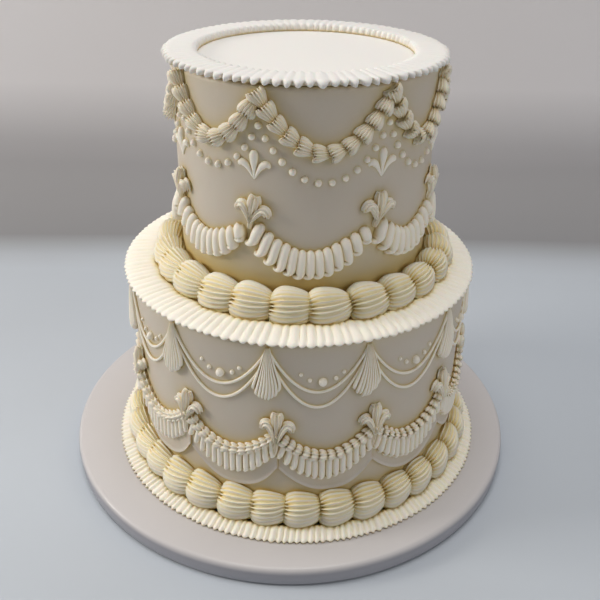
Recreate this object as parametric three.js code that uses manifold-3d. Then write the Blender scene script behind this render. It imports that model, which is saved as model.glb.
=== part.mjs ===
// Two-tier piped wedding cake on its round iced board.
// Millimetres, +Z up. The origin is the centre of the board's underside, and -Y is the front.
import * as THREE from 'three';
import { mergeVertices } from 'three/addons/utils/BufferGeometryUtils.js';
import Module from 'manifold-3d';

const wasm = await Module();
wasm.setup();

// Board
const boardRadius = 152.4;
const boardThick = 13;
const boardEdge = 2.2;
const boardSides = 56;

// Tiers, with heights from the board's top
const cakeY = -7.3;
const lower = { x: 4.4, radius: 106.5, floor: 0, top: 128 };
const upper = { x: 6.9, radius: 75.5, floor: 128, top: 254.6 };
const tierSides = 48;
const gap = 0.3;

// Where the bays of the piping start, in degrees from the front, to the right
const lowerBays = 12;
const bayAngle = 360 / lowerBays;
const fleurStart = -5.9;
const tasselStarts = [-40.6, -8.4, 21.1, 54.2, 83.7, 113.1, 142.6, 172.1, 201.5, 231, 260.5, 289.9];
const upperBayStarts = [-64, -21.3, 30.5, 71, 116, 161, 206, 251];
const swagLead = 3.4;

// Ruffles: a flat fluted ribbon with a lifted lip
const ruffleSides = 48;
const baseRuffle = {
  tier: lower, floor: 0, ripples: 112, foot: 113, inner: 119, outer: 126, height: 5.4,
  underLip: 124.4, lobe: 0.9, arch: 2.1, archIn: 1.3,
};
const middleRuffle = {
  tier: lower, floor: lower.top, ripples: 108, foot: 90.8, inner: 94.8, outer: 110.8, height: 5,
  underLip: 105.4, lobe: 1, arch: 3, archIn: 1.6,
};
const topRuffle = {
  tier: upper, floor: upper.top, ripples: 88, foot: 59.4, inner: 61, outer: 80.5, height: 4.6,
  underLip: 74.7, lobe: 0.8, arch: 3, archIn: 1.6,
};

// Shell borders: fat heads that taper into the head of the next shell
const baseShells = {
  tier: lower, floor: 0, count: 34, start: -12.4, centre: 109, depth: 9.4, height: 12, lift: 13,
};
const middleShells = {
  tier: upper, floor: upper.floor, count: 25, start: -9.8, centre: 84, depth: 9, height: 10, lift: 10,
};
const shellRise = [[0, 0.62], [0.13, 0.95], [0.5, 1]];
const shellRibs = [[-58, 1], [-20, 0.93], [22, 1], [70, 0.97]];
const shellTailDepth = 0.35;

// Garland of the lower tier: a rope of small shells above a ribbed ruffle, slim behind the fleurs' tails
const rope = { low: 52.6, rise: 15.2, half: 3.8, depth: 5.4, groove: 2, beads: 7, back: 0.5 };
const ribs = { count: 10, low: 36.4, rise: 18.7, top: 4.4, foot: 4.6, groove: 1.6, notch: 1.2, back: 1.9 };
const slim = { depth: 2.1, from: 0.78, to: 0.88 };

// The thin scalloped plate under that garland
const plate = { low: 26, rise: 17.7, power: 2.2, thick: 1.5, behindRope: 6 };

// Fleurs: an upright stroke between two that curl out, with the places and sections along a stroke
const lowerFleur = { join: 64.5, tall: 18.6, wide: 8.4, drop: 9.5, waist: 8, clear: 2.6 };
const upperFleur = { join: 183.3, tall: 13.9, wide: 8.4, drop: 4.1, waist: 4.4, clear: gap };
const uprightHead = { half: 1.5, thick: 3 };
const uprightBelly = { half: 3, thick: 4.6, below: 4 };
const uprightWaist = { half: 1.9, thick: 3.2 };
const uprightTail = { half: 0.9, thick: 2.4 };
const sideHead = { half: 1.4, thick: 3, lift: 0.42 };
const sideBelly = { half: 2.4, thick: 4.6, lift: 0.6, inward: 3.4 };
const sideWaist = { half: 1.8, thick: 3.6, across: 3.2, lower: 1 };
const sideTail = { half: 0.8, thick: 2, across: 0.5, below: 1.5, clear: 0.5 };

// Tassels, as [share of the drop, half width, clearance, thickness] from the neck to the curled hem
const tasselTop = 126;
const tasselDrop = 33.9;
const tasselLevels = [[0, 1.9, 2.1, 1.8], [0.42, 3.9, 2.3, 2.6], [0.82, 6.9, gap, 5.6], [1, 5.8, gap, 3]];
const tasselSection = [[-1, 0], [-0.75, 0.8], [0, 1], [0.75, 0.8], [1, 0]];

// Strings and pearls of the lower tier; pearls as [degrees from the bay's middle, height]
const upperString = { low: 97.3, high: 124.4 };
const lowerString = { low: 87.5, high: 120.6 };
const stringHalf = 1.05;
const stringDepth = 1.9;
const stringSteps = 6;
const middlePearls = [[1.2, 104.4]];
const smallPearls = [[-5.2, 109.3], [-2.6, 105.6], [5.1, 106.2], [7.4, 109.9]];
const middlePearl = { radius: 2.4, proud: 2.9, sides: 6 };
const smallPearl = { radius: 1.3, proud: 1.5, sides: 4 };
const sunk = 0.6;

// Garlands of slanted fingers on the upper tier, hanging by a share of their bay's width
const fingers = { pitch: 5.3, top: 183.4, topSag: 0.228, hem: 173, hemSag: 0.298 };
const fingerTop = { depth: 4.6, groove: 2.4, drop: 0.8, grooveDrop: 2.2, leftInset: 5.6, rightInset: 5.6 };
const fingerHem = { depth: 6, groove: 3, notch: 2.4, tuck: 2.6, leftInset: 0.9, rightInset: 1.6 };

// Swags of small shells under the top edge
const swag = { peak: 249.5, power: 1.9, shells: 9, half: 4.5, widen: 0.55, brim: 1.6 };
const swagLows = [224.8, 222, 222.6, 224, 223, 224.5, 223.4, 223];
const swagUpper = { depth: 5.6, groove: 2.6, rise: 0.5, grooveRise: 0.25 };
const swagLower = { depth: 5, groove: 2.2, rise: 0.6, grooveRise: 0.3 };

// Dots that follow the swags, and the flat fleur of three drops under each peak
const dots = { count: 10, high: 235, power: 2.4, crowding: 0.85, inset: 0.03 };
const dotLows = [210.4, 206.3, 207, 208.4, 207.6, 209, 208, 207.6];
const dotBead = { radius: 1.8, proud: 2.3, sides: 4 };
const flatDrops = { foot: 206.4, half: 2.4, belly: 0.66, proud: 2.3, lead: 1.4 };
const flatDropHeads = [[0, 222], [-6.6, 215.6], [6.6, 215.6]];

const icing = { color: 0xf4ead2, roughness: 0.62, metalness: 0 };
const fondant = { color: 0xebe4da, roughness: 0.55, metalness: 0 };
const boardIcing = { color: 0xe9e3e1, roughness: 0.5, metalness: 0 };

const cake = new THREE.Group();
cake.position.set(0, cakeY, boardThick);

function add(name, geometry, finish, group = cake) {
  const mesh = new THREE.Mesh(geometry, new THREE.MeshStandardMaterial(finish));
  mesh.name = name;
  group.add(mesh);
  return mesh;
}

// A point near a tier's wall, by its angle from the front, its radius and its height
function at(tier, angle, radius, height) {
  const turn = THREE.MathUtils.degToRad(angle);
  return new THREE.Vector3(tier.x + radius * Math.sin(turn), -radius * Math.cos(turn), height);
}

// The angle that a length along the wall takes
function along(tier, length) {
  return THREE.MathUtils.radToDeg(length / tier.radius);
}

// The angle at a share of the way round, which is counted in bays of uneven width
function roundBays(starts, u) {
  const place = u * starts.length;
  const bay = Math.min(Math.floor(place), starts.length - 1);
  return THREE.MathUtils.lerp(starts[bay], starts[bay + 1] ?? starts[0] + 360, place - bay);
}

// How far round a hanging curve is from its middle, as 1 at the ends and 0 at the middle
function sag(u, power = 2) {
  return Math.abs(2 * u - 1) ** power;
}

// A line of points with the share of the way at which each one lies
function line(count, closed, place) {
  const last = closed ? count : count - 1;
  return Array.from({ length: count }, (_, k) => ({ u: k / last, point: place(k / last, k) }));
}

// A closed body from lines that run side by side round its section.
// Lines with different numbers of points are joined by triangles that advance along both.
function stitch(lines, closed) {
  const positions = [];
  const starts = [];
  for (const points of lines) {
    starts.push(positions.length / 3);
    for (const { point } of points) positions.push(point.x, point.y, point.z);
  }
  const faces = [];
  lines.forEach((near, n) => {
    const m = (n + 1) % lines.length;
    const far = lines[m];
    const share = (points, k) => (k < points.length ? points[k].u : points[k - points.length].u + 1);
    const index = (points, start, k) => start + (k % points.length);
    const steps = (points) => (closed ? points.length : points.length - 1);
    let i = 0;
    let j = 0;
    while (i < steps(near) || j < steps(far)) {
      const nearFirst = j >= steps(far) || (i < steps(near) && share(near, i + 1) <= share(far, j + 1));
      const a = index(near, starts[n], i);
      const b = index(far, starts[m], j);
      if (nearFirst) {
        faces.push(a, index(near, starts[n], i + 1), b);
        i += 1;
      } else {
        faces.push(a, index(far, starts[m], j + 1), b);
        j += 1;
      }
    }
  });
  if (!closed) {
    for (let n = 1; n < lines.length - 1; n += 1) {
      const tail = (k) => starts[k] + lines[k].length - 1;
      faces.push(starts[0], starts[n], starts[n + 1]);
      faces.push(tail(0), tail(n + 1), tail(n));
    }
  }
  return outward(positions, faces);
}

// Geometry with its faces turned outward
function outward(positions, faces) {
  const corner = (k) => new THREE.Vector3().fromArray(positions, 3 * faces[k]);
  let volume = 0;
  for (let k = 0; k < faces.length; k += 3) {
    volume += corner(k).dot(corner(k + 1).cross(corner(k + 2)));
  }
  if (volume < 0) faces.reverse();
  const geometry = new THREE.BufferGeometry();
  geometry.setAttribute('position', new THREE.Float32BufferAttribute(positions, 3));
  geometry.setIndex(faces);
  geometry.computeVertexNormals();
  return geometry;
}

// Solids for joining, and back again
function toSolid(geometry) {
  const bare = geometry.clone();
  bare.deleteAttribute('normal');
  bare.deleteAttribute('uv');
  const merged = mergeVertices(bare, 1e-4);
  return new wasm.Manifold(new wasm.Mesh({
    numProp: 3,
    vertProperties: new Float32Array(merged.attributes.position.array),
    triVerts: new Uint32Array(merged.index.array),
  }));
}

function toGeometry(solid) {
  const mesh = solid.getMesh();
  return outward(Array.from(mesh.vertProperties), Array.from(mesh.triVerts));
}

function fuse(geometries) {
  return toGeometry(geometries.map(toSolid).reduce((sum, piece) => sum.add(piece)));
}

function board() {
  const outline = [
    [0, 0], [boardRadius - boardEdge / 2, 0], [boardRadius, boardEdge],
    [boardRadius, boardThick - boardEdge], [boardRadius - boardEdge, boardThick], [0, boardThick],
  ].map(([r, z]) => new THREE.Vector2(r, z));
  return new THREE.LatheGeometry(outline, boardSides).rotateX(Math.PI / 2);
}

// A tier: covered cake, solid, as it is uncut
function tierBody({ x, radius, floor, top }) {
  const height = top - floor - gap;
  const body = new THREE.CylinderGeometry(radius, radius, height, tierSides).rotateX(Math.PI / 2);
  return body.translate(x, 0, floor + gap + height / 2);
}

// The lip waves between lobes that reach down and arches that lift; a ridge runs in from each lobe
function ruffle({ tier, floor, ripples, foot, inner, outer, height, underLip, lobe, arch, archIn }) {
  const ring = (count, radius, rise) => line(count, true, (u) => at(tier, 360 * u, radius, floor + rise));
  const lip = line(2 * ripples, true, (u, k) => {
    const lifted = k % 2 === 1;
    return at(tier, 360 * u, lifted ? outer - archIn : outer, floor + (lifted ? arch : lobe));
  });
  return stitch([
    ring(ruffleSides, foot, gap), ring(ruffleSides, underLip, gap), lip, ring(ripples, inner, height),
  ], true);
}

// A border of shells: each head swells from behind the tail before it
function shellBorder({ tier, floor, count, start, centre, depth, height, lift }) {
  const back = tier.radius + gap;
  const stations = count * shellRise.length;
  const place = (k) => {
    const [share, size] = shellRise[k % shellRise.length];
    const shell = Math.floor(k / shellRise.length);
    return { u: (shell + share) / count, size };
  };
  const ribLine = ([turn, swell]) => Array.from({ length: stations }, (_, k) => {
    const { u, size } = place(k);
    const lean = THREE.MathUtils.degToRad(turn);
    const reach = centre - back + depth * swell * Math.cos(lean);
    const rise = height * swell * Math.sin(lean);
    const thin = shellTailDepth + (1 - shellTailDepth) * size;
    return { u, point: at(tier, start + 360 * u, back + thin * reach, floor + lift + size * rise) };
  });
  const heel = line(ruffleSides, true, (u) => at(tier, start + 360 * u, back, floor + gap));
  return stitch([heel, ...shellRibs.map(ribLine)], true);
}

// Lines of the lower garland, as heights by the share u of one bay
const ropeHeight = (u) => rope.low + rope.rise * sag(u);
const hemHeight = (u) => ribs.low + ribs.rise * sag(u);
const plateHeight = (u) => plate.low + plate.rise * sag(u, plate.power);

// The bay that a share of the whole round falls in, and the share of that bay
function inBay(u) {
  return { angle: fleurStart + 360 * u, part: (u * lowerBays) % 1 };
}

function lowerGarland() {
  const round = (perBay, place) => line(perBay * lowerBays, true, (u, k) => {
    const { angle, part } = inBay(u);
    const { out, height } = place(part, k % 2 === 1);
    const slimness = THREE.MathUtils.smoothstep(sag(part, 1), slim.from, slim.to);
    const depth = THREE.MathUtils.lerp(out, Math.min(out, slim.depth), slimness);
    return at(lower, angle, lower.radius + depth, height);
  });
  const ropeTop = (part) => ({ out: rope.back, height: ropeHeight(part) + rope.half });
  const ropeFace = (part, swell) => ({
    out: rope.depth - (swell ? 0 : rope.groove), height: ropeHeight(part),
  });
  const ribTop = (part, swell) => ({
    out: ribs.top - (swell ? 0 : ribs.groove), height: ropeHeight(part) - rope.half,
  });
  const ribFoot = (part, swell) => ({
    out: ribs.foot - (swell ? 0 : ribs.groove), height: hemHeight(part) + (swell ? 0 : ribs.notch),
  });
  const ribBack = (part) => ({ out: ribs.back, height: hemHeight(part) + ribs.groove });
  return stitch([
    round(5, ropeTop), round(2 * rope.beads, ropeFace), round(2 * ribs.count, ribTop),
    round(2 * ribs.count, ribFoot), round(5, ribBack),
  ], true);
}

// The plate is thickest at its hem and thins out behind the rope
function scallopPlate() {
  const round = (perBay, out, height) => line(perBay * lowerBays, true, (u) => {
    const { angle, part } = inBay(u);
    return at(lower, angle, lower.radius + out, height(part));
  });
  return stitch([
    round(5, gap, (part) => ropeHeight(part) - plate.behindRope),
    round(6, plate.thick, plateHeight),
    round(6, gap, plateHeight),
  ], true);
}

// A piped stroke on a wall: points [across, height, half width, thickness, clearance] from head to tail
function stroke(tier, middle, points) {
  const spots = points.map(([across, height]) => new THREE.Vector2(across, height));
  const edge = (side, front) => points.map(([across, height, half, thick, clear], k) => {
    const before = spots[Math.max(k - 1, 0)];
    const after = spots[Math.min(k + 1, spots.length - 1)];
    const way = after.clone().sub(before).normalize();
    const x = across - side * half * way.y;
    const z = height + side * half * way.x;
    const out = clear + (front ? thick : 0);
    return { u: k / (points.length - 1), point: at(tier, middle + along(tier, x), tier.radius + out, z) };
  });
  return stitch([edge(-1, false), edge(0, true), edge(1, false)], false);
}

// A fleur: its strokes are joined over the tail of the upright one. Over a rope they clear it from the waist
function fleur(tier, middle, { join, tall, wide, drop, waist, clear }) {
  const section = (across, height, { half, thick }, clearance) => [across, height, half, thick, clearance];
  const upright = [
    section(0, join + tall, uprightHead, gap),
    section(0, join + tall - uprightBelly.below, uprightBelly, gap),
    section(0, join + waist, uprightWaist, clear),
    section(0, join - drop, uprightTail, clear),
  ];
  const waisted = (hand) => section(hand * sideWaist.across, join + waist - sideWaist.lower, sideWaist, clear);
  const side = (hand) => [
    section(hand * wide, join + sideHead.lift * tall, sideHead, gap),
    section(hand * (wide - sideBelly.inward), join + sideBelly.lift * tall, sideBelly, gap),
    ...(clear > gap ? [waisted(hand)] : []),
    section(hand * sideTail.across, join - sideTail.below, sideTail, clear + sideTail.clear),
  ];
  return fuse([upright, side(-1), side(1)].map((points) => stroke(tier, middle, points)));
}

// A tassel: a narrow neck over the strings' ends, widening into a skirt with a curled hem
function tassel(middle) {
  const edge = ([share, ridge]) => tasselLevels.map(([drop, half, clear, thick], k) => ({
    u: k / (tasselLevels.length - 1),
    point: at(
      lower, middle + along(lower, half * share), lower.radius + clear + thick * ridge,
      tasselTop - tasselDrop * drop,
    ),
  }));
  return stitch(tasselSection.map(edge), false);
}

// A row of strings round the tier, hanging from tassel to tassel behind their necks
function strings({ low, high }) {
  const round = (out, lift) => line(stringSteps * lowerBays, true, (u) => {
    const part = (u * lowerBays) % 1;
    const height = low + (high - low) * sag(part) + lift * (1 + 0.5 * sag(part));
    return at(lower, roundBays(tasselStarts, u), lower.radius + out, height);
  });
  return stitch([round(gap, stringHalf), round(stringDepth, 0), round(gap, -stringHalf)], true);
}

// A small bead of icing, round with six sides or peaked with four, its foot sunk in the wall
function bead(tier, angle, height, { radius, proud, sides }) {
  const shoulder = sides > 4 ? [[0.9 * radius, 0.6 * proud]] : [];
  const profile = [[0, -sunk], [radius, -sunk], ...shoulder, [0, proud]];
  const turned = new THREE.LatheGeometry(profile.map(([r, z]) => new THREE.Vector2(r, z)), sides);
  const facing = at({ x: 0 }, angle, 1, 0);
  const turn = new THREE.Quaternion().setFromUnitVectors(new THREE.Vector3(0, 1, 0), facing);
  return turned.applyQuaternion(turn).translate(...at(tier, angle, tier.radius, height).toArray());
}

// A flat fleur: three low drops whose tips meet, each a kite with a raised middle
function flatFleur(middle) {
  const { foot, half, belly, proud } = flatDrops;
  return flatDropHeads.map(([across, head]) => {
    const reach = new THREE.Vector2(across, head - foot);
    const side = new THREE.Vector2(-reach.y, reach.x).setLength(half);
    const spot = (share, sideways, out) => at(
      upper, middle + along(upper, reach.x * share + side.x * sideways), upper.radius + out,
      foot + reach.y * share + side.y * sideways,
    );
    const rim = [spot(1, 0, -sunk), spot(belly, 1, -sunk), spot(0, 0, -sunk), spot(belly, -1, -sunk)];
    const corners = [...rim, spot(belly, 0, proud)];
    const slopes = [0, 1, 4, 1, 2, 4, 2, 3, 4, 3, 0, 4];
    return outward(corners.flatMap((corner) => corner.toArray()), [...slopes, 0, 3, 2, 0, 2, 1]);
  });
}

// A bay of the upper garland: slanted fingers whose lower ends curl out
function upperGarland(from, to) {
  const width = THREE.MathUtils.degToRad(to - from) * upper.radius;
  const edge = (count, row, place) => line(count, false, (u, k) => {
    const start = from + along(upper, row.leftInset);
    const end = to - along(upper, row.rightInset);
    const { out, height } = place(u, k % 2 === 1);
    return at(upper, THREE.MathUtils.lerp(start, end, u), upper.radius + out, height);
  });
  const top = (u) => fingers.top - fingers.topSag * width * (1 - sag(u));
  const hem = (u) => fingers.hem - fingers.hemSag * width * (1 - sag(u));
  const topFace = (u, swell) => ({
    out: swell ? fingerTop.depth : fingerTop.groove,
    height: top(u) - (swell ? fingerTop.drop : fingerTop.grooveDrop),
  });
  const hemFace = (u, swell) => ({
    out: swell ? fingerHem.depth : fingerHem.groove,
    height: hem(u) + (swell ? 0 : fingerHem.notch),
  });
  const edges = 2 * Math.round(width / fingers.pitch) + 1;
  return stitch([
    edge(7, fingerTop, (u) => ({ out: gap, height: top(u) - fingerTop.drop / 2 })),
    edge(edges, fingerTop, topFace),
    edge(edges, fingerHem, hemFace),
    edge(7, fingerHem, (u) => ({ out: gap, height: hem(u) + fingerHem.tuck })),
  ], false);
}

// One row of small shells round the tier, hanging between peaks
function shellSwags() {
  const peaks = upperBayStarts.map((angle) => angle + swagLead);
  const round = (perBay, place) => line(perBay * peaks.length, true, (u, k) => {
    const part = (k % perBay) / perBay;
    const low = swagLows[Math.floor(k / perBay)];
    const path = low + (swag.peak - low) * sag(part, swag.power);
    const half = swag.half * (1 + swag.widen * sag(part));
    const { out, share } = place(k % 2 === 1);
    const height = Math.min(path + half * share, upper.top - swag.brim);
    return at(upper, roundBays(peaks, u), upper.radius + out, height);
  });
  const upperFace = (swell) => ({
    out: swell ? swagUpper.depth : swagUpper.groove, share: swell ? swagUpper.rise : swagUpper.grooveRise,
  });
  const lowerFace = (swell) => ({
    out: swell ? swagLower.depth : swagLower.groove, share: swell ? -swagLower.rise : -swagLower.grooveRise,
  });
  return stitch([
    round(6, () => ({ out: gap, share: 0.9 })),
    round(2 * swag.shells, upperFace),
    round(2 * swag.shells, lowerFace),
    round(6, () => ({ out: gap, share: -1 })),
  ], true);
}

function lowerTier() {
  const beads = Array.from({ length: lowerBays }, (_, bay) => {
    const middle = roundBays(tasselStarts, (bay + 0.5) / lowerBays);
    const pearls = (places, size) => places.map(
      ([offset, height]) => bead(lower, middle + offset, height, size),
    );
    return [...pearls(middlePearls, middlePearl), ...pearls(smallPearls, smallPearl)];
  });
  return fuse([tierBody(lower), ...beads.flat()]);
}

function upperTier() {
  const relief = [];
  upperBayStarts.forEach((start, bay) => {
    const from = start + swagLead;
    const to = (upperBayStarts[bay + 1] ?? upperBayStarts[0] + 360) + swagLead;
    relief.push(...flatFleur(start + flatDrops.lead));
    for (let k = 0; k < dots.count; k += 1) {
      const side = 2 * ((k + 0.5) / dots.count) - 1;
      const share = 0.5 + 0.5 * Math.sign(side) * Math.abs(side) ** dots.crowding;
      const angle = THREE.MathUtils.lerp(from, to, dots.inset + (1 - 2 * dots.inset) * share);
      const height = dotLows[bay] + (dots.high - dotLows[bay]) * sag(share, dots.power);
      relief.push(bead(upper, angle, height, dotBead));
    }
  });
  return fuse([tierBody(upper), ...relief]);
}

const part = new THREE.Group();
add('board', board(), boardIcing, part);
add('lower_tier', lowerTier(), fondant);
add('upper_tier', upperTier(), fondant);
add('base_ruffle', ruffle(baseRuffle), icing);
add('middle_ruffle', ruffle(middleRuffle), icing);
add('top_ruffle', ruffle(topRuffle), icing);
add('base_shells', shellBorder(baseShells), icing);
add('middle_shells', shellBorder(middleShells), icing);
add('lower_garland', lowerGarland(), icing);
add('scallop_plate', scallopPlate(), fondant);
add('shell_swags', shellSwags(), icing);
add('upper_strings', strings(upperString), icing);
add('lower_strings', strings(lowerString), icing);

for (let bay = 0; bay < lowerBays; bay += 1) {
  add(`lower_fleur_${bay + 1}`, fleur(lower, fleurStart + bay * bayAngle, lowerFleur), icing);
  add(`tassel_${bay + 1}`, tassel(tasselStarts[bay]), icing);
}
upperBayStarts.forEach((start, bay) => {
  const end = upperBayStarts[bay + 1] ?? upperBayStarts[0] + 360;
  add(`upper_fleur_${bay + 1}`, fleur(upper, start, upperFleur), icing);
  add(`upper_garland_${bay + 1}`, upperGarland(start, end), icing);
});
part.add(cake);

export default part;
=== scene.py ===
# Two-tier wedding cake, covered in fondant and piped in ivory icing, on its round iced board.
# Shapes are worked out in millimetres and turned to metres as each mesh is made.
import math
from types import SimpleNamespace

import bmesh
import bpy
import numpy as np
from mathutils import Matrix, Vector


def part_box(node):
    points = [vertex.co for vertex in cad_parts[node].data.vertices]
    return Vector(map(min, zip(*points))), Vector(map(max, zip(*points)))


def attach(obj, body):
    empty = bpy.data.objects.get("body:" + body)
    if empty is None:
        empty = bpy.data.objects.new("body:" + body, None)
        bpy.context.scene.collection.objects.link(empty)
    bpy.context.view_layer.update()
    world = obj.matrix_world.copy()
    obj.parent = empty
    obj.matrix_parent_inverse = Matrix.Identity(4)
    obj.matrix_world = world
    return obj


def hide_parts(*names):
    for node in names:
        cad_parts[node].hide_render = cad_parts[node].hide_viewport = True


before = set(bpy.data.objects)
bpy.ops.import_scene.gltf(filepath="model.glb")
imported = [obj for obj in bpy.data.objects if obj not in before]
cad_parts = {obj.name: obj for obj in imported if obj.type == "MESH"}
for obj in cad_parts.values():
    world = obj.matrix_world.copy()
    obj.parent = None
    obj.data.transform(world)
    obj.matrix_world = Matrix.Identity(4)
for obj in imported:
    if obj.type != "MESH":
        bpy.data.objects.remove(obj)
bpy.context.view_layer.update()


# The board
# A 12 inch round cake board with a thin coat of pale icing, smoothed over the edge with a palette
# knife. Its side is painted darker and bluer than its top, as painted shade and a painted reflection
# of the blue floor, and a little paler again towards its foot.

def box_mm(node):
    """A node's lowest and highest corners, in millimetres."""
    low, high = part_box(node)
    return 1000 * np.array(low), 1000 * np.array(high)


board_low, board_high = box_mm("board")
board_top = board_high[2]
board_radius = (board_high[0] - board_low[0]) / 2
board_round = 3.2
board_steps = 200
board_wobble = 0.04
# The icing's pale colour on the top; down the side, painted shade and a painted reflection of the blue
# floor, a little paler again at its foot.
board_coat_and_shade = [
    (0.0, (0.46, 0.46, 0.49)), (0.25, (0.4, 0.4, 0.44)), (0.7, (0.36, 0.355, 0.39)),
    (0.93, (0.55, 0.53, 0.535)), (1.0, (0.57, 0.55, 0.555)),
]
edge_steps = 6
hand_waves = [(2, 1, 0.7), (3, 0.6, 2), (7, 0.4, 0)]


class Wire:
    """A socket of a material's nodes, on which plain arithmetic adds Math nodes."""

    def __init__(self, tree, socket=None):
        self.tree = tree
        self.socket = socket

    def node(self, kind, settings=None, sockets=None, output=0):
        made = self.tree.nodes.new(kind)
        for name, value in (settings or {}).items():
            if name == "stops":
                ramp = made.color_ramp
                for extra in range(len(value) - len(ramp.elements)):
                    ramp.elements.new(0.5)
                for stop, (position, colour) in zip(ramp.elements, value):
                    stop.position = position
                    stop.color = (*colour, 1)
            else:
                setattr(made, name, value)
        for name, value in (sockets or {}).items():
            if isinstance(value, Wire):
                self.tree.links.new(value.socket, made.inputs[name])
            else:
                made.inputs[name].default_value = value
        return Wire(self.tree, made.outputs[output])

    def maths(self, operation, first, second):
        return self.node("ShaderNodeMath", {"operation": operation}, {0: first, 1: second})

    def __add__(self, other):
        return self.maths("ADD", self, other)

    def __sub__(self, other):
        return self.maths("SUBTRACT", self, other)

    def __rsub__(self, other):
        return self.maths("SUBTRACT", other, self)

    def __mul__(self, other):
        return self.maths("MULTIPLY", self, other)

    __radd__ = __add__
    __rmul__ = __mul__


def material(name, paint, **sockets):
    """A material whose shader takes plain values from sockets, and what varies from paint."""
    made = bpy.data.materials.new(name)
    made.use_nodes = True
    tree = made.node_tree
    shader = tree.nodes["Principled BSDF"]
    for socket, value in sockets.items():
        shader.inputs[socket.replace("_", " ")].default_value = value
    for socket, wire in paint(Wire(tree)).items():
        tree.links.new(wire.socket, shader.inputs[socket])
    return made


def height_above_table(wire):
    """The height of each place above the underside of the board, in metres."""
    place = wire.node("ShaderNodeTexCoord", output="Object")
    return wire.node("ShaderNodeSeparateXYZ", {}, {"Vector": place}, output="Z")


def noise(wire, scale, detail=2):
    place = wire.node("ShaderNodeTexCoord", output="Object")
    return wire.node("ShaderNodeTexNoise", {}, {
        "Vector": place, "Scale": scale, "Detail": detail, "Roughness": 0.5,
    }, output="Fac")


def bump(wire, height, strength, distance):
    return wire.node("ShaderNodeBump", {}, {
        "Height": height, "Strength": strength, "Distance": distance,
    })


def skin(rings, loop=False):
    """A closed body from rings of points, rings[k, j]. Its ends are closed unless the rings loop."""
    count, around = rings.shape[:2]
    k, j = np.meshgrid(np.arange(count if loop else count - 1), np.arange(around), indexing="ij")
    after, beside = (k + 1) % count, (j + 1) % around
    corners = [k * around + j, k * around + beside, after * around + beside, after * around + j]
    faces = np.stack(corners, -1).reshape(-1, 4).tolist()
    if not loop:
        faces += [list(range(around)), [(count - 1) * around + n for n in range(around)]]
    return rings.reshape(-1, 3), faces


def face_outward(mesh):
    work = bmesh.new()
    work.from_mesh(mesh)
    bmesh.ops.recalc_face_normals(work, faces=work.faces)
    work.to_mesh(mesh)
    work.free()


def piece(name, bodies, finish, slot, *nodes):
    """One object of several closed bodies, which stands for CAD nodes."""
    points = []
    faces = []
    for body_points, body_faces in bodies:
        start = len(points)
        points.extend((body_points / 1000).tolist())
        faces.extend([start + corner for corner in face] for face in body_faces)
    mesh = bpy.data.meshes.new(name)
    mesh.from_pydata(points, [], faces)
    face_outward(mesh)
    mesh.materials.append(finish)
    mesh.polygons.foreach_set("use_smooth", [True] * len(mesh.polygons))
    made = bpy.data.objects.new(name, mesh)
    bpy.context.scene.collection.objects.link(made)
    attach(made, "root")
    if nodes:
        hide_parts(*nodes)


def revolve(profile, steps, wobble, x=0.0, y=0.0):
    """A turned body from its profile of radius and height. It is out of round by wobble at its
    widest and less further in, in hand_waves: how many waves go round, their share and start."""
    turn = np.linspace(0, 2 * np.pi, steps, endpoint=False)
    unround = wobble * sum(part * np.sin(waves * turn + start) for waves, part, start in hand_waves)
    profile = np.array(profile)
    share = np.clip(profile[:, :1] / profile[:, 0].max(), 0, 1) ** 4
    reach = profile[:, :1] + unround * share
    height = np.broadcast_to(profile[:, 1:], reach.shape)
    return skin(np.stack([x + reach * np.sin(turn), y - reach * np.cos(turn), height], -1))


def rounded(radius, height, edge):
    """Points on a round edge, whose outside corner would be at radius and height."""
    angles = np.radians(np.linspace(0, 90, edge_steps))
    return [(radius - edge + edge * math.cos(a), height - edge + edge * math.sin(a)) for a in angles]


def board_paint(wire):
    level = height_above_table(wire) * (1000 / board_top)
    smear = noise(wire, 35, 3)
    return {
        # Painted shade and painted reflection on the side, by height on the board.
        "Base Color": wire.node("ShaderNodeValToRGB", {"stops": board_coat_and_shade}, {
            "Fac": level + 0.18 * (noise(wire, 14) - 0.5),
        }),
        "Roughness": 0.34 + 0.2 * smear,
        "Normal": bump(wire, smear + 0.15 * noise(wire, 600), 0.25, 0.0006),
    }


board_finish = material("board_icing", board_paint, Coat_Weight=0.08, Specular_IOR_Level=0.4)
board_profile = [(0.5, 0), (board_radius - 3, 0), (board_radius - 1.4, 0.5), (board_radius - 0.4, 2)]
board_profile += [(board_radius - 0.3, board_top / 2)]
board_profile += rounded(board_radius - 0.1, board_top, board_round)
board_profile += [(radius, board_top) for radius in (140, 125, 100, 50, 0.5)]
board_body = revolve(board_profile, board_steps, board_wobble)
piece("board_icing", [board_body], board_finish, "board_icing", "board")


# The two tiers
# Cake under a thin skin of off-white fondant, smoothed by hand, so its wall is very slightly out of
# true. The lower tier's wall rises under the middle ruffle and the upper tier's under the top one.

def tier(ring, radius, floor, top):
    """A tier about the middle of a ring of its icing, with its wall's radius. Floor and top are the
    heights of its foot and its top above the board."""
    low, high = box_mm(ring)
    x, y = ((low + high) / 2)[:2]
    return SimpleNamespace(x=x, y=y, radius=radius, floor=floor, top=top)


lower = tier("base_ruffle", radius=106.5, floor=0, top=128)
upper = tier("top_ruffle", radius=75.5, floor=128, top=254.6)
tier_round = 2.4
tier_gap = 0.3
tier_steps = 192
tier_wobble = 0.12
wall_rings = 12
fondant_shade_reach = 0.03
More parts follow.
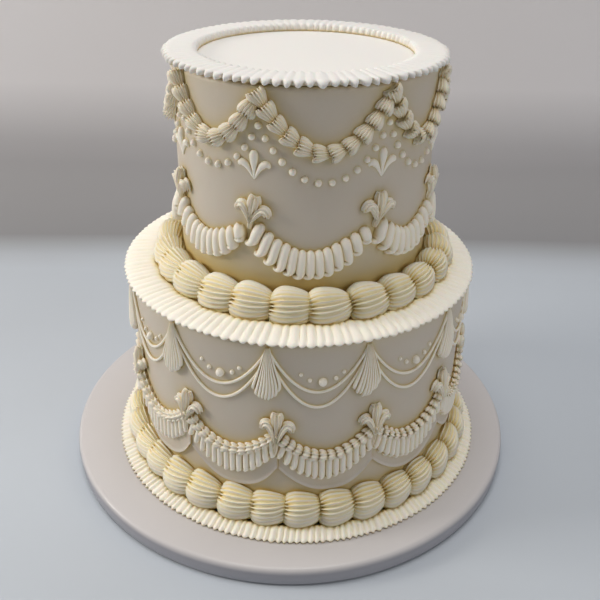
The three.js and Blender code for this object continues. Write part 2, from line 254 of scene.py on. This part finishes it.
# Painted shade: from a deep yellow-brown in the hollows by the icing, for shade and light bounced off it,
# through the wall's shaded tone to the pale colour of the lit top.
fondant_colours_and_shade = [
    (0.14, (0.66, 0.48, 0.16)), (0.34, (0.66, 0.54, 0.27)), (0.5, (0.61, 0.52, 0.34)),
    (0.66, (0.6, 0.525, 0.43)), (0.8, (0.74, 0.695, 0.63)), (0.97, (0.86, 0.845, 0.81)),
]


def open_air(wire, reach):
    """How open a place is, from 0 deep in a hollow to 1, as far around it as reach in metres."""
    return wire.node("ShaderNodeAmbientOcclusion", {"samples": 8}, {"Distance": reach}, output="AO")


def fondant_paint(wire):
    """Painted shade and bounce light: yellower and darker in the hollows near the icing, and paler
    on the flat top than on the wall, for how the light falls.
    """
    facing = wire.node("ShaderNodeNewGeometry", output="Normal")
    upward = wire.node("ShaderNodeSeparateXYZ", {}, {"Vector": facing}, output="Z")
    patches = noise(wire, 18, 3)
    return {
        "Base Color": wire.node("ShaderNodeValToRGB", {"stops": fondant_colours_and_shade}, {
            # Painted shade by how open a place is, and painted light by how far it faces up.
            "Fac": 0.7 * open_air(wire, fondant_shade_reach) + 0.45 * upward + 0.05 * (patches - 0.5),
        }),
        "Roughness": 0.46 + 0.12 * patches,
        "Normal": bump(wire, patches + 0.1 * noise(wire, 700), 0.2, 0.0005),
    }


fondant_finish = material(
    "fondant", fondant_paint, Subsurface_Weight=0.08, Subsurface_Scale=0.002, Specular_IOR_Level=0.35)


def tier_wall(t):
    foot = board_top + t.floor
    top = board_top + t.top
    profile = [(0.5, foot + tier_gap), (t.radius, foot + tier_gap)]
    profile += [(t.radius, z) for z in np.linspace(foot + 2, top - tier_round - 1, wall_rings)]
    profile += rounded(t.radius, top, tier_round)
    profile += [(t.radius * share, top) for share in (0.9, 0.75, 0.5, 0.25, 0.01)]
    return revolve(profile, tier_steps, tier_wobble, t.x, t.y)


piece("lower_wall", [tier_wall(lower)], fondant_finish, "fondant", "lower_tier")
piece("upper_wall", [tier_wall(upper)], fondant_finish, "fondant", "upper_tier")


# The three ruffles
# Ribbons of ivory icing piped through a ribbed tube, which ripples as it is laid down. Each ripple
# is a rounded column that runs out to the lip and droops there in a lobe, over a small dark arch.

random = np.random.default_rng(20)
# How far round a place its hollows are felt, to paint shade into the icing's hollows.
icing_shade_reach = 0.006
column_steps = 9
uneven_column = 0.2
lowest_column = 0.76


def icing_paint(*colours):
    """Paint for icing whose hollows are painted deeper and yellower, as painted shade and light
    bounced off the icing around them. The colours go from the deepest hollow out to the crest."""
    def paint(wire):
        patches = noise(wire, 40)
        return {
            # Painted shade: the hollows take the deeper colours.
            "Base Color": wire.node("ShaderNodeValToRGB", {
                "stops": list(zip((0.08, 0.34, 0.62, 0.92), colours)),
            }, {"Fac": open_air(wire, icing_shade_reach) + 0.1 * (patches - 0.5)}),
            "Roughness": 0.46 + 0.12 * patches,
            "Normal": bump(wire, patches + 0.2 * noise(wire, 900, 3), 0.25, 0.0004),
        }
    return paint


# One ivory icing in three copies that differ only in painted shade: the deep colours painted in their
# hollows, and for the top ruffle a greyer copy, which keeps it no brighter than the fondant top under the
# light from above.
ivory_paint = icing_paint((0.78, 0.6, 0.22), (0.88, 0.77, 0.45), (0.93, 0.87, 0.68), (0.94, 0.9, 0.81))
fine_paint = icing_paint((0.66, 0.5, 0.23), (0.87, 0.76, 0.51), (0.92, 0.85, 0.69), (0.94, 0.89, 0.79))
top_shade_paint = icing_paint((0.66, 0.5, 0.2), (0.78, 0.68, 0.45), (0.82, 0.77, 0.68), (0.84, 0.83, 0.8))
soft = {"Subsurface_Weight": 0.1, "Subsurface_Scale": 0.0008, "Specular_IOR_Level": 0.35}
icing = material("piped_icing", ivory_paint, **soft)
fine_icing = material("fine_icing", fine_paint, **soft)
top_shaded_icing = material("top_shaded_icing", top_shade_paint, **soft)


def ruffle(t, floor, columns, lean, rows):
    """A rippled ribbon round a tier. Rows go from its heel over the top to the lip and back below:
    radius and height on the columns' crests, how far in and down the creases between them lie, and
    the power that makes the columns broad (under 1) or as wide as the hollows (2)."""
    marks = np.arange(-1, columns + 2) + random.uniform(-uneven_column, uneven_column, columns + 3)
    marks[-3:] = marks[:3] + columns
    place = np.arange(columns * column_steps)[:, None] / column_steps
    radius, height, crease_in, crease_down, power = np.array(rows).T
    shift = lean * np.linspace(-0.5, 0.5, len(rows))
    ripple = np.interp((place + shift) % columns, marks, np.arange(-1, columns + 2))
    column = np.floor(ripple).astype(int) % columns
    tall = random.uniform(lowest_column, 1, columns)[column]
    crest = np.abs(np.sin(np.pi * ripple)) ** power * tall
    turn = 2 * np.pi * place / columns
    radius = radius + crease_in * (crest - 1)
    height = height + crease_down * (crest - 1)
    return skin(np.stack([
        t.x + radius * np.sin(turn), t.y - radius * np.cos(turn), board_top + floor + height,
    ], -1), loop=True)


base_ruffle = ruffle(lower, floor=0, columns=200, lean=0.5, rows=[
    (113, 0.3, 0, 0, 1), (114, 3.6, 0, 0.3, 1), (116.4, 5.1, 0, 1.2, 0.8),
    (119, 4.7, 0, 1.7, 0.8), (122, 3.8, 0.3, 1.9, 0.9), (124.3, 2.9, 1, 1.3, 1.1),
    (125.8, 1.8, 1.6, 0.4, 1.4), (126, 0.8, 1.7, -0.3, 1.5), (125, 0.3, 1.4, -0.3, 1.5),
    (123, 0.3, 0.8, -0.1, 1), (121, 0.3, 0, 0, 1),
])
middle_ruffle = ruffle(lower, floor=lower.top, columns=133, lean=0.4, rows=[
    (86, 0.3, 0, 0, 1), (87, 2.4, 0, 0, 1), (91, 4.2, 0.1, 0.6, 1), (94, 4.9, 0, 1.1, 0.7),
    (98, 4.8, 0, 1.5, 0.6), (102, 4.5, 0, 1.6, 0.6), (105.6, 4, 0.3, 1.3, 0.7),
    (108.4, 3.2, 0.8, 0.8, 0.8), (110.3, 2.1, 1.2, 0, 0.9), (110.8, 1, 1.5, -0.8, 0.9),
    (110.2, 0.4, 1.5, -1.3, 0.9), (108, 0.3, 1.1, -1, 1), (105, 0.3, 0, 0, 1),
])
top_ruffle = ruffle(upper, floor=upper.top, columns=90, lean=0.2, rows=[
    (60.9, 0.2, -0.4, 0, 1), (60.5, 1.6, -1.3, 0.1, 1), (60.6, 3.2, -1.7, 0.3, 1),
    (61.6, 4.5, -0.9, 1, 1), (64, 4.5, 0, 0.5, 1), (68, 4.3, 0, 0.3, 0.9), (72, 4.3, 0, 0.4, 0.8),
    (75.4, 4.3, 0, 0.8, 0.8), (78, 4.2, 1, 0.4, 0.9), (79.6, 3.6, 2.8, 0, 0.85),
    (80.5, 2.6, 3.8, -0.8, 0.85), (80.5, 1.4, 3.8, -1.8, 0.85), (80.1, 0.5, 3.5, -2.6, 0.85),
    (78.4, 0.3, 2.6, -2.6, 0.85), (75.8, 0.4, 1, -1.6, 1), (74, 0.4, 0, 0, 1),
])
piece("base_ruffle_icing", [base_ruffle], icing, "piped_icing", "base_ruffle")
piece("middle_ruffle_icing", [middle_ruffle], icing, "piped_icing", "middle_ruffle")
piece("top_ruffle_icing", [top_ruffle], top_shaded_icing, "piped_icing", "top_ruffle")


# The shell borders
# Fat shells of ivory icing from a large star tube, round the foot of each tier. Each one is pressed
# out in a ribbed head over the tail of the one before it and drawn off to the right.

ridge_points = 5
head_share = 0.35
head_groove = 0.7
thinnest = 0.1
fat_form = [
    (-0.05, 0.34), (-0.05, 0.7), (0.02, 0.9), (0.12, 1), (0.28, 1.01), (0.47, 0.96), (0.65, 0.86),
    (0.81, 0.71), (0.93, 0.52), (1.02, 0.3),
]
fat_ribs = {"ridges": 24, "groove": 0.24, "tooth": 2.8, "power": 1}


def bend(t, angle, flat):
    """Flat points [across, out, up] laid round a tier's wall from an angle in degrees."""
    turn = np.radians(angle) + flat[..., 0] / t.radius
    reach = t.radius + flat[..., 1]
    height = board_top + flat[..., 2]
    return np.stack([t.x + reach * np.sin(turn), t.y - reach * np.cos(turn), height], -1)


def curve(points, steps):
    """A smooth line through rows of values, worked out as a Catmull-Rom spline."""
    points = np.array(points, float)
    padded = np.vstack([2 * points[0] - points[1], points, 2 * points[-1] - points[-2]])
    place = np.linspace(0, len(points) - 1, steps)
    k = np.minimum(place.astype(int), len(points) - 2)
    t = (place - k)[:, None]
    a, b, c, d = (padded[k + n] for n in range(4))
    square, cube = 2 * a - 5 * b + 4 * c - d, 3 * b - a - 3 * c + d
    return 0.5 * (2 * b + (c - a) * t + square * t ** 2 + cube * t ** 3)


def stroke(rows, steps, ridges=0, groove=0.0, tooth=0.0, power=0.9, around=12, arc=(-35, 215),
           back=3):
    """A piped stroke in flat space, through rows of [across, out, up, half width, depth].
    Ridges run along it. At its head the grooves are deeper, and the ridges stand proud by tooth."""
    line = curve(rows, steps)
    middle = line[:, :3]
    half, depth = np.maximum(line[:, 3:], thinnest).T
    way = np.gradient(middle, axis=0)
    way /= np.linalg.norm(way, axis=1, keepdims=True)
    out = np.array([0, 1, 0]) - way * way[:, 1:2]
    out /= np.linalg.norm(out, axis=1, keepdims=True)
    side = np.cross(way, out)
    if ridges:
        step = 360 / (ridges * ridge_points)
        front = step * np.arange(math.ceil(arc[0] / step), math.floor(arc[1] / step) + 1)
    else:
        front = np.linspace(*arc, around)
    behind = np.linspace(front[-1], front[0] + 360, back + 2)[1:-1]
    turn = np.radians(np.concatenate([front, behind]))
    valley = np.abs(np.sin(ridges * turn / 2)) ** power
    head = np.clip(1 - np.linspace(0, 1, steps) / head_share, 0, 1)[:, None]
    star = 1 - groove * (1 + head_groove * head) * valley
    rings = middle[:, None] + side[:, None] * (half[:, None] * star * np.cos(turn))[..., None]
    rings += out[:, None] * (depth[:, None] * star * np.sin(turn))[..., None]
    return rings - way[:, None] * (tooth * head * (1 - valley))[..., None]


def shell(start, end, half, depth, form, tuck, lift, steps=18, **ribs):
    """A shell piped from one flat point to the next. Form gives its size along the way, and its
    tail is tucked in and lifted by shares of its depth and half width."""
    start, end = np.array(start, float), np.array(end, float)
    rows = []
    for share, size in form:
        across, out, up = start + (end - start) * share
        late = max(share, 0) ** 2
        out -= tuck * late * depth
        up += lift * late * half
        rows.append([across, out, up, half * size, depth * size])
    return stroke(rows, steps, **ribs)


def shell_border(t, count, first, out, up, half, depth, arc):
    step = 360 / count
    length = np.radians(step) * t.radius
    bodies = []
    for k in range(count):
        angle = first + (k + random.uniform(-0.05, 0.05)) * step
        size = random.uniform(0.92, 1.02)
        rise = random.uniform(-1, 1)
        rings = shell((0, out, up + rise), (length, out, up - rise), half * size, depth * size,
                      fat_form, tuck=0.14, lift=0.2, arc=arc, **fat_ribs)
        bodies.append(skin(bend(t, angle, rings)))
    return bodies


base_shells = shell_border(
    lower, count=34, first=-12.4, out=2.2, up=11.6, half=14.2, depth=10.8, arc=(-40, 175))
middle_shells = shell_border(
    upper, count=25, first=-9.8, out=8.5, up=lower.top + 8.8, half=12.4, depth=10.6, arc=(-60, 185))
piece("base_shell_border", base_shells, icing, "piped_icing", "base_shells")
piece("middle_shell_border", middle_shells, icing, "piped_icing", "middle_shells")


# The garland of the lower tier
# A ribbed ruffle piped in narrow pleats along a row of curves, with a rope of little star shells
# along its top edge. A thin scalloped plate of fondant lies on the wall under it.

lower_bays = 12
lower_bay = 2 * math.pi * lower.radius / lower_bays
fleur_start = -5.9
fleur_angles = [fleur_start + bay * 360 / lower_bays for bay in range(lower_bays)]
rope_low = 52.6
rope_rise = 15.2
hem_low = 36.4
hem_rise = 18.7
rope_shells = 13
pleats = 14
star_form = [
    (-0.19, 0.5), (-0.21, 0.94), (-0.13, 1.12), (0.02, 1.1), (0.22, 0.95), (0.48, 0.72),
    (0.74, 0.5), (0.95, 0.34), (1.06, 0.16),
]
rope_ribs = {"ridges": 9, "groove": 0.3, "tooth": 1.4}


def sag(u, power=2):
    """How far up a hanging curve has come, 0 in its middle and 1 at its ends."""
    return abs(2 * u - 1) ** power


def rope_height(u):
    return rope_low + rope_rise * sag(u)


def hem_height(u):
    return hem_low + hem_rise * sag(u)


def hanging(width, height, count):
    """Flat points spaced evenly along a hanging curve."""
    u = np.linspace(0, 1, 200)
    across, up = width * u, np.array([height(v) for v in u])
    length = np.concatenate([[0], np.cumsum(np.hypot(np.diff(across), np.diff(up)))])
    at = np.linspace(0, length[-1], count + 1)
    return np.stack([np.interp(at, length, across), np.interp(at, length, up)], -1)


def star_shell(start, end, half, depth, steps, **ribs):
    """A small shell with a starry head, whose thin tail is tucked in and drops."""
    return shell(start, end, half, depth, star_form, tuck=0.3, lift=-0.18, steps=steps, **ribs)


def pleat(u):
    """The pleat at a share of the way along a bay. Its foot curls out to the left."""
    across = lower_bay * u + random.uniform(-0.2, 0.2)
    top = rope_height(u) - 1
    hem = hem_height(u) + random.uniform(-0.4, 0.4)
    lean = 4 * max(0, 1 - 3 * u) - max(0, 3 * u - 2)
    return stroke([
        (across + lean, 0.4, top, 1.7, 2.4), (across + 0.7 * lean, 0.6, top - 3, 2.2, 3.3),
        (across + 0.2 * lean, 0.7, hem + 3.8, 2.3, 3.6), (across - 0.1, 1, hem + 1.4, 2.1, 3.5),
        (across - 0.8, 1.2, hem + 0.1, 1.4, 2.8), (across - 1.7, 1.1, hem + 0.2, 0.7, 1.5),
        (across - 2.1, 0.8, hem + 0.5, 0.2, 0.4),
    ], 13, back=2)


garland = []
for angle in fleur_angles:
    rope = hanging(lower_bay, rope_height, rope_shells)
    for (x0, z0), (x1, z1) in zip(rope[:-1], rope[1:]):
        size = random.uniform(0.9, 1.06)
        rings = star_shell((x0, 1.4, z0 + 0.4), (x1, 1.2, z1 - 0.4), 3.7 * size, 4.1 * size,
                           steps=11, **rope_ribs)
        garland.append(skin(bend(lower, angle, rings)))
    for k in range(pleats):
        garland.append(skin(bend(lower, angle, pleat((k + 0.5) / pleats))))
piece("lower_garland_icing", garland, fine_icing, "piped_icing", "lower_garland")

plate_low = 26
plate_rise = 17.7
plate_section = [
    (0.2, 0), (0.9, 0), (1.2, 0.3), (1.3, 0.84), (1.5, 0.92), (1.9, 0.96), (1.9, 0.99), (1.2, 1),
    (0.3, 0.99),
]


def plate_hem(u):
    """The height of the scalloped edge, which turns up more sharply at the right of a bay."""
    return plate_low + plate_rise * min(sag(u, 1.9 if u < 0.5 else 3.2), 1)


def scallop_plate():
    """One bay of the plate in flat space. Its right end lies over the start of the next bay."""
    u = np.linspace(0.004, 1.012, 44)
    top = np.array([rope_height(v) - 5 for v in u])
    hem = np.array([plate_hem(v) for v in u])
    lift = 0.9 * np.clip((u - 0.85) / 0.15, 0, 1)
    return np.stack([
        np.stack([lower_bay * u, out + lift, top + (hem - top) * share], -1)
        for out, share in plate_section
    ], 1)


plates = [skin(bend(lower, angle, scallop_plate())) for angle in fleur_angles]
piece("scallop_plates", plates, fondant_finish, "fondant", "scallop_plate")


# The fleurs
# Three strokes from a star tube over each join of a garland: one upright between two that arch up
# and curl out, all drawn down to one thin tail. Their ridges end in points at the heads.

upper_starts = [-64, -21.3, 30.5, 71, 116, 161, 206, 251]
tipped_fleur = 2
tipped_by = 9


def upright_stroke(join, tall, tail, lift):
    lean = random.uniform(-0.4, 0.5)
    top = join + tall * random.uniform(0.96, 1.02)
    return stroke([
        (lean, 0.6, top - 0.6, 0.6, 0.9), (lean, 0.9, top - 0.3, 2.6, 3),
        (lean, 0.9, top - 2.6, 3.9, 4.5), (0.8 * lean, 0.8, top - 6.5, 3.4, 4.8),
        (0.3 * lean, 0.6 + 0.4 * lift, join + 5.5, 2.2, 4), (0, 0.4 + lift, join, 1.4, 3.2),
        (-0.3, lift, join - 0.55 * tail, 1.7, 2.8), (-0.6, lift, join - tail, 1.2, 2),
        (-0.8, lift, join - tail - 0.6, 0.2, 0.4),
    ], 25, ridges=10, groove=0.34, tooth=2.4)


def curling_stroke(hand, join, tall, wide, lift):
    """The stroke at the left or right of a fleur, whose hand is -1 or 1."""
    x = hand * wide * random.uniform(0.95, 1.03)
    up = tall * random.uniform(0.95, 1.05)
    curl = random.uniform(0, 0.12) + 0.02 * hand
    return stroke([
        (0.97 * x, 0.7, join + (0.5 - curl) * up, 0.5, 0.9),
        (1.02 * x, 1, join + (0.53 - curl) * up, 1.9, 2.8),
        (0.88 * x, 1.2, join + (0.62 - 0.5 * curl) * up, 2.7, 4.1),
        (0.66 * x, 1.2, join + 0.6 * up, 2.7, 4.4),
        (0.42 * x, 1.1 + 0.3 * lift, join + 0.45 * up, 2.3, 4.1),
        (0.2 * x, 1 + 0.7 * lift, join + 0.21 * up, 1.6, 3.6),
        (0.06 * x, 0.9 + lift, join, 1, 2.7), (0.04 * x, 0.7 + lift, join - 1.6, 0.2, 0.6),
    ], 24, ridges=8, groove=0.34, tooth=2.2)


def fleur(t, angle, join, tall, wide, tail, lift, tilt):
    """The bodies of a fleur at an angle round a tier. Join is the height where its strokes meet,
    lift how far that stands off the wall, and tilt its slope in degrees."""
    strokes = [upright_stroke(join, tall, tail, lift)]
    strokes += [curling_stroke(hand, join, tall, wide, lift) for hand in (-1, 1)]
    slope = math.radians(tilt)
    for rings in strokes:
        across, up = rings[..., 0].copy(), rings[..., 2] - join
        rings[..., 0] = across * math.cos(slope) + up * math.sin(slope)
        rings[..., 2] = join + up * math.cos(slope) - across * math.sin(slope)
    return [skin(bend(t, angle, rings)) for rings in strokes]


for number, angle in enumerate(fleur_angles, 1):
    bodies = fleur(lower, angle, join=64.5, tall=18.6, wide=8, tail=9.5, lift=2.2,
                   tilt=random.uniform(-1, 4))
    piece(f"lower_fleur_icing_{number}", bodies, fine_icing, "piped_icing", f"lower_fleur_{number}")

for number, angle in enumerate(upper_starts, 1):
    tilt = tipped_by if number == tipped_fleur else random.uniform(-2, 6)
    bodies = fleur(upper, angle, join=183.3, tall=14, wide=8.2, tail=4.6, lift=0.3, tilt=tilt)
    piece(f"upper_fleur_icing_{number}", bodies, fine_icing, "piped_icing", f"upper_fleur_{number}")


# The strings, tassels and pearls
# Two rows of plain string, dropped from point to point round the lower tier. A tassel of fine
# ridges covers each point, and five pearls of icing sit in each loop.

tassel_starts = [-40.6, -8.4, 21.1, 54.2, 83.7, 113.1, 142.6, 172.1, 201.5, 231, 260.5, 289.9]
string_heights = {"upper_strings": (97.3, 124.4), "lower_strings": (87.5, 120.6)}
string_half = 0.85
string_depth = 0.95


def bays(starts):
    """The angles in degrees between which each bay runs, from those at which they start."""
    return list(zip(starts, starts[1:] + [starts[0] + 360]))


for node, (low, high) in string_heights.items():
    loops = []
    for start, end in bays(tassel_starts):
        uneven = random.uniform(-0.5, 0.5)
        width = np.radians(end - start) * lower.radius
        rows = []
        for u in np.linspace(0, 1, 15):
            up = low + (high - low) * sag(u) + uneven * (1 - sag(u))
            rows.append((width * u, 0.55, up, string_half, string_depth))
        loops.append(skin(bend(lower, start, stroke(rows, 48, around=10, back=2))))
    piece(f"{node}_icing", loops, fine_icing, "piped_icing", node)

tassel_top = 126
tassel_drop = 33.4
strands = 9
strand_half = 0.57
strand_form = [
    (0, 0.9, 0.8), (0.06, 1.4, 1.7), (0.2, 2.3, 2.4), (0.45, 4, 2.9), (0.68, 5.8, 3.2),
    (0.84, 6.8, 3.3), (0.94, 6.9, 3), (1, 6.4, 1.8), (1.01, 6.1, 0.5),
]


def tassel_strand(share, sway):
    """One strand of a tassel, by its place from -1 at the left to 1 at the right. The form gives
    how far the tassel has fallen, its half width and how far it stands out. The foot hooks left."""
    edge = share ** 2
    reach = tassel_drop * (1 - 0.16 * edge) * random.uniform(0.96, 1.01)
    rows = []
    for fall, wide, out in strand_form:
        hook = 1.3 * max(0, fall - 0.78) / 0.22
        half = strand_half * 2 * wide / (strands - 1) * min(1, 12 * (1.03 - fall))
        across = wide * share + sway * math.sin(3.4 * fall) - hook
        rows.append((across, out * (1 - 0.4 * edge), tassel_top - fall * reach, half, half + 0.6))
    return stroke(rows, 18, around=9, arc=(-30, 210), back=2)


for number, start in enumerate(tassel_starts, 1):
    sway = random.uniform(-0.5, 0.7)
    bodies = []
    for share in np.linspace(-1, 1, strands):
        bodies.append(skin(bend(lower, start, tassel_strand(share, sway))))
    piece(f"tassel_icing_{number}", bodies, fine_icing, "piped_icing", f"tassel_{number}")


def drop(across, up, radius, tall, around=14, steps=8):
    """A round drop of icing on the wall, drawn to a soft point that hangs a little."""
    share = np.linspace(0, 1, steps)
    reach = radius * np.sqrt(np.clip(1 - share ** 2.4, 0.0004, 1))
    out = tall * share - 0.3
    turn = np.linspace(0, 2 * np.pi, around, endpoint=False)
    return np.stack([
        across + reach[:, None] * np.cos(turn), np.broadcast_to(out[:, None], (steps, around)),
        up + reach[:, None] * np.sin(turn) - 0.12 * out[:, None],
    ], -1)


pearl_finish = material("pearl_icing", fine_paint, Coat_Weight=0.6, Coat_Roughness=0.2)
pearl_tall = 1.4
pearl_places = [
    (-5.2, 109.3, 1.15), (-2.6, 105.6, 1.35), (1.2, 104.4, 2.5), (5.1, 106.2, 1.4),
    (7.4, 109.9, 1.25),
]
pearls = []
for start, end in bays(tassel_starts):
    for offset, up, radius in pearl_places:
        rings = drop(0, up, radius, pearl_tall * radius)
        pearls.append(skin(bend(lower, (start + end) / 2 + offset, rings)))
piece("pearls", pearls, pearl_finish, "piped_icing")


# The garlands of the upper tier
# Ruffles piped with a plain petal tube that is raised and lowered as it goes round, so that it
# folds into smooth slanted fingers. The foot of each finger curls out to the left.

finger_pitch = 5.3
finger_foot = 173
finger_top = 184
foot_sag = 0.298
top_sag = 0.236


def finger(u, width):
    """The finger at a share of the way along a bay of some width."""
    last = max(0, 5 * u - 4)
    foot_x = (width - 1.2) * u - 1.8
    foot_z = finger_foot - foot_sag * width * (1 - sag(u)) + 1.2 * last + random.uniform(-0.4, 0.4)
    top_z = finger_top - top_sag * width * (1 - sag(u)) - 3 * last + random.uniform(-0.3, 0.3)
    slant = 0.42 if u < 0.5 else 0.26
    top_x = foot_x + slant * (1 - 2 * u) * (top_z - foot_z) + random.uniform(-0.2, 0.2)
    rows = [(top_x, 0.4, top_z, 0.5, 0.8), (top_x, 0.6, top_z - 0.3, 2.3, 2.8)]
    for share, out, half, depth in [(0.2, 0.6, 3, 4.2), (0.5, 0.7, 3.2, 4.8), (0.76, 0.8, 3, 5)]:
        across, up = top_x + (foot_x - top_x) * share, top_z + (foot_z - top_z) * share
        rows.append((across, out, up, half, depth))
    rows += [
        (foot_x - 0.3, 1, foot_z + 1.5, 2.5, 4.7), (foot_x - 1.5, 1.1, foot_z + 0.6, 1.8, 3.9),
        (foot_x - 3.1, 1, foot_z + 0.8, 1.3, 2.8), (foot_x - 4, 0.7, foot_z + 1.3, 0.3, 0.6),
    ]
    return stroke(rows, 20, around=15, back=2)


for number, (start, end) in enumerate(bays(upper_starts), 1):
    width = np.radians(end - start) * upper.radius
    fingers = round(width / finger_pitch)
    bodies = []
    for k in range(fingers):
        bodies.append(skin(bend(upper, start, finger((k + 0.5) / fingers, width))))
    piece(f"upper_garland_icing_{number}", bodies, fine_icing, "piped_icing",
          f"upper_garland_{number}")


# The swags, dots and flat fleurs under the top edge
# Small star shells piped one over the next along hanging curves, with a chain of dots below them.
# Three smooth drops that meet at their tips hang under each peak.

swag_lead = 3.4
swag_pitch = 8.6
swag_peak = 250.2
swag_lows = [224.8, 222, 222.6, 224, 223, 224.5, 223.4, 223]
swag_ribs = {"ridges": 17, "groove": 0.27, "tooth": 2.4}
dot_pitch = 7.2
dot_peak = 235
dot_lows = [210.4, 206.3, 207, 208.4, 207.6, 209, 208, 207.6]
dot_tall = 2.6
flat_turn = 2
flat_upright = [
    (0, 222, 0.3), (0, 221.7, 1.4), (0, 219.4, 2.4), (0, 216, 2.1), (0, 211, 1), (0, 207, 0.5),
    (0, 206.4, 0.1),
]
flat_right = [
    (7.7, 213, 0.3), (7.9, 213.8, 1.3), (6.7, 215, 2.1), (4.6, 214.2, 1.9), (2.6, 211.6, 1.2),
    (0.8, 208, 0.6), (0.1, 206.6, 0.2),
]
flat_left = [(-across, up, half) for across, up, half in flat_right]


def along_bay(width, low, peak, power, pitch):
    """Flat points at an even pitch along a curve that hangs from peak to peak."""
    def height(u):
        return low + (peak - low) * sag(u, power)

    span = hanging(width, height, 100)
    count = round(np.hypot(*np.diff(span, axis=0).T).sum() / pitch)
    return hanging(width, height, count)


swags = []
dots = []
for (start, end), swag_low, dot_low in zip(bays(upper_starts), swag_lows, dot_lows):
    start, end = start + swag_lead, end + swag_lead
    width = np.radians(end - start) * upper.radius
    spots = along_bay(width, swag_low, swag_peak, 1.9, swag_pitch)
    for (x0, z0), (x1, z1) in zip(spots[:-1], spots[1:]):
        size = random.uniform(0.92, 1.05)
        rings = star_shell((x0, 1.2, z0), (x1, 0.9, z1), 4.6 * size, 4.7 * size, steps=14,
                           **swag_ribs)
        swags.append(skin(bend(upper, start, rings)))
    for across, up in along_bay(width, dot_low, dot_peak, 2.2, dot_pitch)[:-1]:
        rings = drop(across, up, random.uniform(1.75, 2), dot_tall, around=12, steps=7)
        dots.append(skin(bend(upper, start, rings)))
    for form in (flat_upright, flat_right, flat_left):
        rows = []
        for across, up, half in form:
            across -= np.radians(flat_turn) * upper.radius
            rows.append((across, 0.1, up, half, 0.95 * half))
        dots.append(skin(bend(upper, start, stroke(rows, 16, back=2))))
piece("shell_swags_icing", swags, fine_icing, "piped_icing", "shell_swags")
piece("dots_and_drops", dots, fine_icing, "piped_icing")


# The studio
# A pale floor that curves up into a soft grey wall, one broad light straight above, a warm one like
# a window's from the left, a weak one from the front right, and the camera as the photograph was taken.

photo_px = 600
focal_px = 752.48
camera_place = Vector((5.0, -442.45, 361.2)) / 1000
pitch, roll, yaw = (math.radians(angle) for angle in (30.352, 0.841, 0.0756))
ahead = Vector((math.sin(yaw) * math.cos(pitch), math.cos(yaw) * math.cos(pitch), -math.sin(pitch)))
level = ahead.cross(Vector((0, 0, 1))).normalized()
above = level.cross(ahead)
right = math.cos(roll) * level + math.sin(roll) * above
top = math.cos(roll) * above - math.sin(roll) * level
lens = bpy.data.cameras.new("camera")
lens.sensor_width = 36
lens.lens = focal_px * lens.sensor_width / photo_px
lens.clip_start = 0.01
camera = bpy.data.objects.new("camera", lens)
camera.matrix_world = Matrix.Translation(camera_place) @ Matrix((right, top, -ahead)).transposed().to_4x4()
bpy.context.scene.collection.objects.link(camera)
bpy.context.scene.camera = camera

# The pale blue floor, then painted shade, darkest in the bend where the floor meets the wall, and the wall
# lighter further up.
backdrop_colours_and_shade = [
    (0.0, (0.53, 0.585, 0.65)), (0.04, (0.48, 0.52, 0.57)), (0.12, (0.27, 0.27, 0.28)),
    (0.5, (0.41, 0.4, 0.41)), (1.0, (0.78, 0.755, 0.765)),
]


def backdrop_paint(wire):
    return {"Base Color": wire.node("ShaderNodeValToRGB", {"stops": backdrop_colours_and_shade}, {
        "Fac": height_above_table(wire) * 6 + 0.06 * noise(wire, 3),
    })}


sweep_front = -1.5
sweep_back = 0.33
sweep_bend = 0.1
sweep_side = 2
sweep_top = 2
sweep = [(sweep_front, 0), (-0.6, 0), (0, 0), (sweep_back - sweep_bend, 0)]
for angle in np.radians(np.linspace(15, 90, 6)):
    out = sweep_back - sweep_bend * (1 - math.sin(angle))
    sweep.append((out, sweep_bend * (1 - math.cos(angle))))
sweep.append((sweep_back, sweep_top))
points = [(x, y, z) for x in (-sweep_side, sweep_side) for y, z in sweep]
faces = [(k, k + 1, k + 1 + len(sweep), k + len(sweep)) for k in range(len(sweep) - 1)]
mesh = bpy.data.meshes.new("backdrop")
mesh.from_pydata(points, [], faces)
mesh.polygons.foreach_set("use_smooth", [True] * len(mesh.polygons))
mesh.materials.append(material("backdrop", backdrop_paint, Roughness=0.9))
backdrop = bpy.data.objects.new("backdrop", mesh)
bpy.context.scene.collection.objects.link(backdrop)


def area_light(name, place, target, size, power, colour):
    light = bpy.data.lights.new(name, "AREA")
    light.size = size
    light.energy = power
    light.color = colour
    made = bpy.data.objects.new(name, light)
    made.location = place
    made.rotation_euler = (Vector(target) - Vector(place)).to_track_quat("-Z", "Y").to_euler()
    bpy.context.scene.collection.objects.link(made)


area_light("ceiling", (-0.1, 0.0, 2.6), (0, 0, 0.1), size=1.4, power=37, colour=(1, 0.985, 0.965))
area_light("window", (-1.45, -0.12, 0.75), (0, 0, 0.15), size=0.5, power=12.5, colour=(1, 0.95, 0.88))
area_light("fill", (1.0, -0.8, 0.7), (0, 0, 0.15), size=0.7, power=3.4, colour=(1, 0.985, 0.97))
world = bpy.data.worlds.new("room")
world.use_nodes = True
room_light = world.node_tree.nodes["Background"].inputs
room_light["Color"].default_value = (1, 0.94, 0.89, 1)
room_light["Strength"].default_value = 0.13
bpy.context.scene.world = world
bpy.context.scene.view_settings.view_transform = "Standard"
